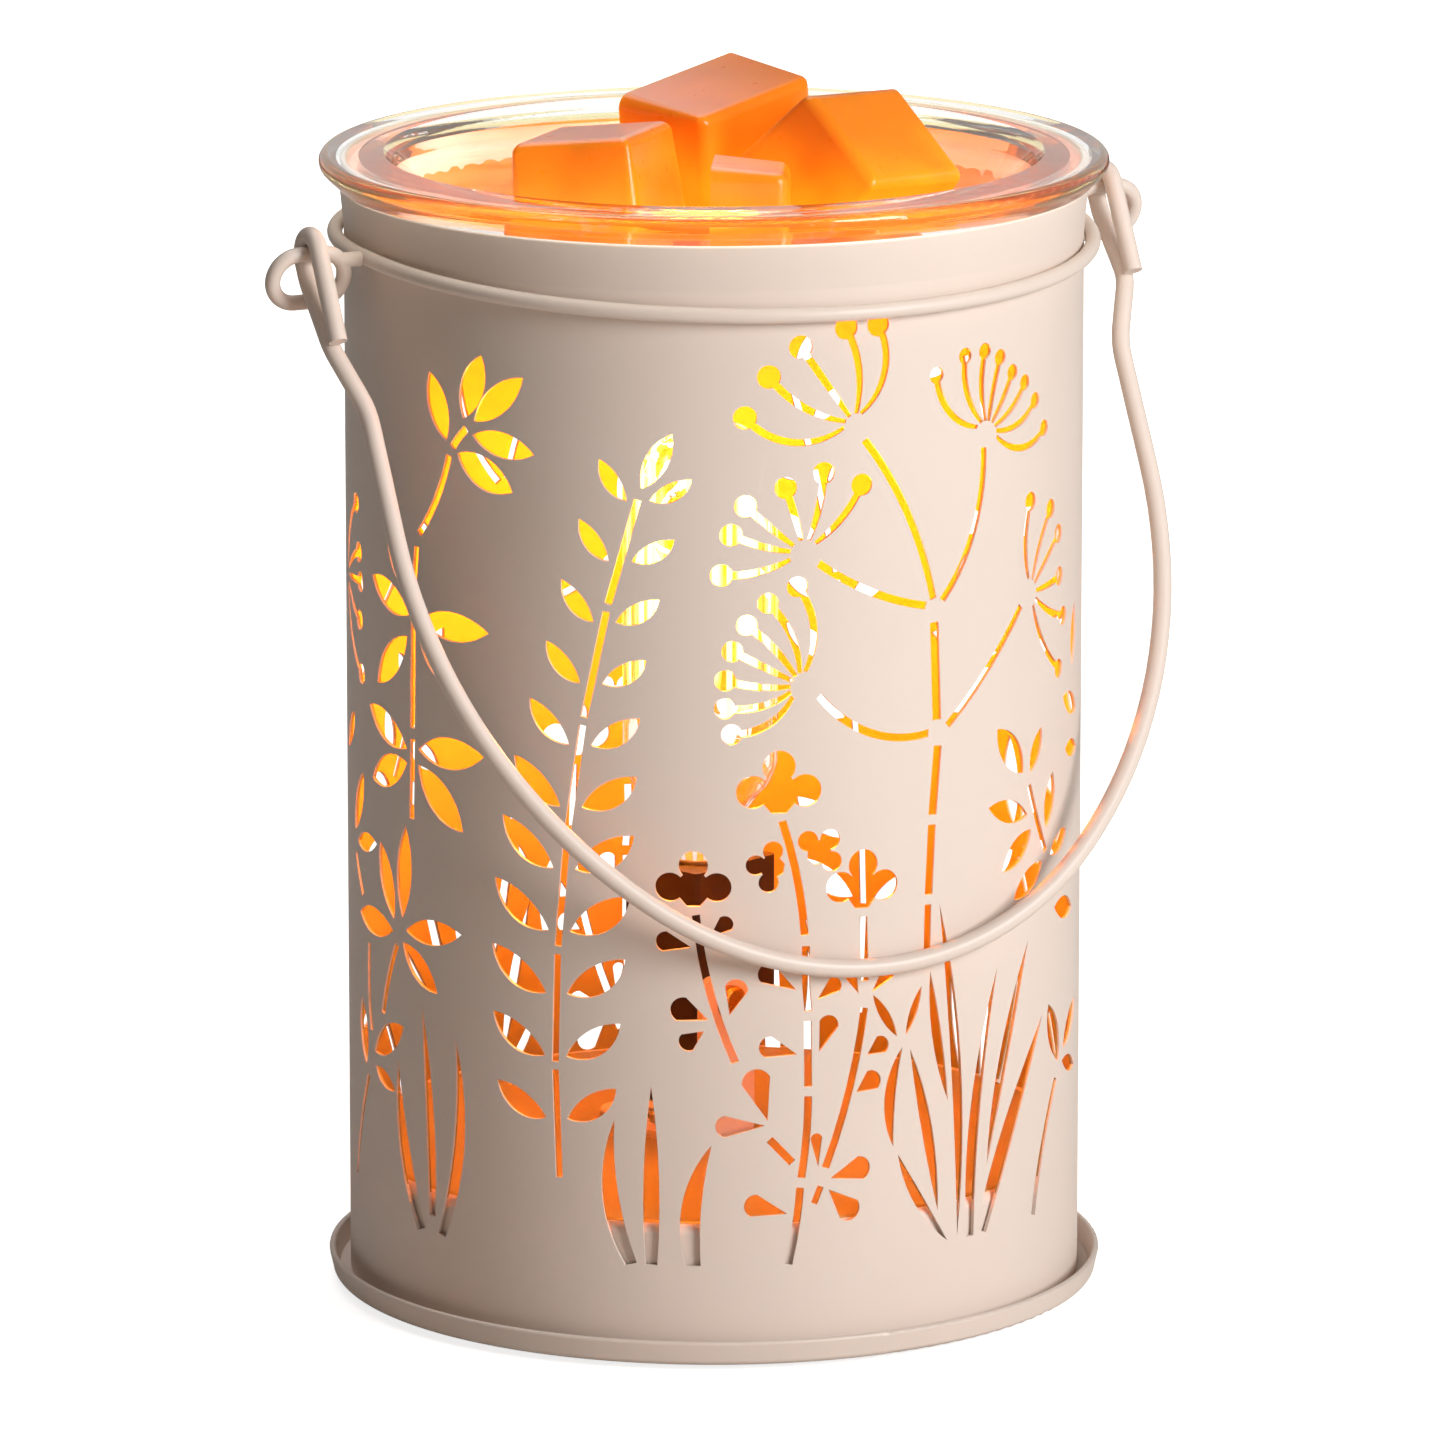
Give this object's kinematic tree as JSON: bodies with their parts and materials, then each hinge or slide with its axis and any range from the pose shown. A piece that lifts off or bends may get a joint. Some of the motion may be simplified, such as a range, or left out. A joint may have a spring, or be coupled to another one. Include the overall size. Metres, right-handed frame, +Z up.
{
  "type": "candle warmer lamp",
  "caption": "Pierced metal lantern wax warmer: lamp inside, clear glass dish of wax on top, swinging wire bail handle in two ear loops.",
  "frame": {"origin": "centre of the resting plane, under the middle of the base pan", "axes": "+Z up, the handle's ears on +X and -X, the front on -Y"},
  "size_m": [0.1578, 0.128, 0.1988],
  "materials": {
    "beige_coat": "satin",
    "zinc_steel": "brushed",
    "brass": "satin",
    "dark_phenolic": "matte",
    "cap_aluminium": "satin",
    "clear_glass": "clear",
    "tungsten": "matte",
    "black_rubber": "matte",
    "nylon": "matte",
    "insulation": "matte",
    "soft_wax": "satin",
    "melted_wax": "glossy"
  },
  "bodies": {
    "lantern": {"body_sleeve": "beige_coat", "neck_ring": "beige_coat", "ear_right": "beige_coat", "ear_left": "beige_coat", "base_pan": "beige_coat", "inner_base": "beige_coat", "standoffs": "zinc_steel", "base_screws": "zinc_steel", "rubber_feet": "black_rubber", "socket_bracket": "beige_coat", "bracket_screw": "brass", "foot_screws": "zinc_steel", "foot_nuts": "zinc_steel", "lampholder": "dark_phenolic", "holder_shell": "brass", "holder_contact": "brass", "lamp_glass": "clear_glass", "lamp_stem": "clear_glass", "lamp_cap": "cap_aluminium", "lamp_tip": "brass", "lamp_filament": "tungsten", "lamp_leads": "tungsten", "lead_bushing": "nylon", "inlet_bushing": "nylon", "terminal_block": "nylon", "terminal_screws": "brass", "lead_live": "insulation", "lead_neutral": "insulation"},
    "bail": {"bail_handle": "beige_coat"},
    "dish": {"glass_dish": "clear_glass", "wax_pool": "melted_wax", "wax_melts": "soft_wax"}
  },
  "joints": [
    {"name": "bail_swing", "type": "hinge", "parent": "lantern", "child": "bail", "pos_m": [0, 0, 0.1761], "axis": [-1, 0, 0], "range_deg": [0, 260]},
    {"name": "dish_lift", "type": "slide", "parent": "lantern", "child": "dish", "axis": [0, 0, 1], "range_m": [0, 0.04]}
  ]
}
